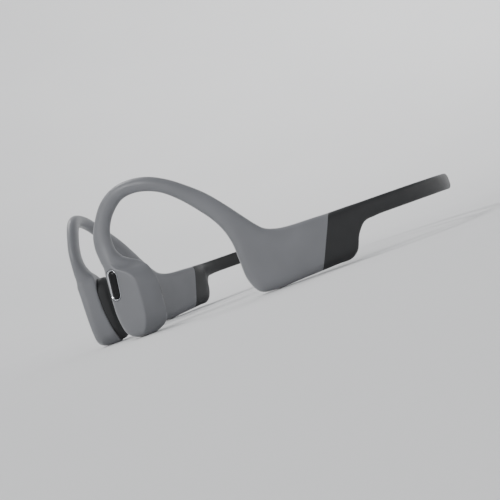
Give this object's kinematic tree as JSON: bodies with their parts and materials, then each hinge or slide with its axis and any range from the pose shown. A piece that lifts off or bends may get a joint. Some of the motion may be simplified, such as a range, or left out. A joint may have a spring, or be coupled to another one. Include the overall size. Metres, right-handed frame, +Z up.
{
  "type": "bone conduction headphones",
  "caption": "Open-ear headphones: a speaker pod and an ear hook on each side, a case behind each ear, and a springy band round the back of the neck.",
  "frame": {"origin": "middle of the footprint, on the surface that the pods and cases stand on", "axes": "+Z up, the wearer faces -Y, the wearer's left is +X"},
  "size_m": [0.1292, 0.1298, 0.0481],
  "materials": {
    "light_silicone": "satin, soft to the touch",
    "dark_silicone": "satin, soft to the touch",
    "black_plastic": "gloss",
    "polished_metal": "polished",
    "titanium": "drawn",
    "lead_jacket": "matte",
    "copper": "wound wire, copper",
    "magnet_steel": "plated",
    "battery_foil": "foil",
    "circuit_board": "solder mask",
    "gold": "gold plated",
    "light_guide": "frosted"
  },
  "bodies": {
    "neckband": {"neckband_sleeve": "dark_silicone", "neckband_wire": "titanium", "neckband_leads": "lead_jacket"},
    "left_arm": {"left_pod_shell": "light_silicone", "left_pod_cover": "dark_silicone", "left_contact_pad": "dark_silicone", "left_coil_frame": "black_plastic", "left_voice_coil": "copper", "left_spring_plate": "magnet_steel", "left_microphone": "magnet_steel", "left_hook_sleeve": "light_silicone", "left_hook_wire": "titanium", "left_hook_leads": "lead_jacket", "left_case_shell": "light_silicone", "left_case_lid": "light_silicone", "left_band_sleeve": "dark_silicone", "left_band_wire": "titanium", "left_band_leads": "lead_jacket", "left_button_ring": "polished_metal", "left_button_dome": "magnet_steel", "left_button_board": "circuit_board", "left_battery": "battery_foil", "left_battery_board": "circuit_board"},
    "right_arm": {"right_pod_shell": "light_silicone", "right_pod_cover": "dark_silicone", "right_contact_pad": "dark_silicone", "right_coil_frame": "black_plastic", "right_voice_coil": "copper", "right_spring_plate": "magnet_steel", "right_microphone": "magnet_steel", "right_hook_sleeve": "light_silicone", "right_hook_wire": "titanium", "right_hook_leads": "lead_jacket", "right_case_shell": "light_silicone", "right_case_lid": "light_silicone", "right_band_sleeve": "dark_silicone", "right_band_wire": "titanium", "right_band_leads": "lead_jacket", "right_main_board": "circuit_board", "right_shield_can": "magnet_steel", "right_volume_down_switch": "black_plastic", "right_volume_up_switch": "black_plastic", "right_charge_base": "black_plastic", "right_charge_contact_1": "gold", "right_charge_contact_2": "gold", "right_charge_magnet_1": "magnet_steel", "right_charge_magnet_2": "magnet_steel", "right_light_guide": "light_guide"},
    "left_magnet_assembly": {"left_yoke": "magnet_steel", "left_top_plate": "magnet_steel", "left_magnet": "magnet_steel"},
    "right_magnet_assembly": {"right_yoke": "magnet_steel", "right_top_plate": "magnet_steel", "right_magnet": "magnet_steel"},
    "multifunction_button": {"left_multifunction_button": "black_plastic"},
    "volume_down_button": {"right_volume_down_button": "black_plastic"},
    "volume_up_button": {"right_volume_up_button": "black_plastic"}
  },
  "joints": [
    {"name": "left_arm_opening", "type": "hinge", "parent": "neckband", "child": "left_arm", "pos_m": [0.05733, 0.04518, 0.01425], "axis": [0, 0, 1], "range_deg": [0, 30], "stiffness_Nm_per_rad": 0.29},
    {"name": "right_arm_opening", "type": "hinge", "parent": "neckband", "child": "right_arm", "pos_m": [-0.05733, 0.04518, 0.01425], "axis": [0, 0, -1], "range_deg": [0, 30], "stiffness_Nm_per_rad": 0.29},
    {"name": "multifunction_press", "type": "slide", "parent": "left_arm", "child": "multifunction_button", "axis": [-0.5446, 0.8387, 0], "range_m": [0, 0.00025], "stiffness_N_per_m": 4000},
    {"name": "volume_down_press", "type": "slide", "parent": "right_arm", "child": "volume_down_button", "axis": [0, 0, 1], "range_m": [0, 0.00025], "stiffness_N_per_m": 4000},
    {"name": "volume_up_press", "type": "slide", "parent": "right_arm", "child": "volume_up_button", "axis": [0, 0, 1], "range_m": [0, 0.00025], "stiffness_N_per_m": 4000},
    {"name": "left_vibration", "type": "slide", "parent": "left_arm", "child": "left_magnet_assembly", "axis": [0.5446, -0.8387, 0], "range_m": [-0.00015, 0.00015], "stiffness_N_per_m": 1300},
    {"name": "right_vibration", "type": "slide", "parent": "right_arm", "child": "right_magnet_assembly", "axis": [-0.5446, -0.8387, 0], "range_m": [-0.00015, 0.00015], "stiffness_N_per_m": 1300}
  ]
}
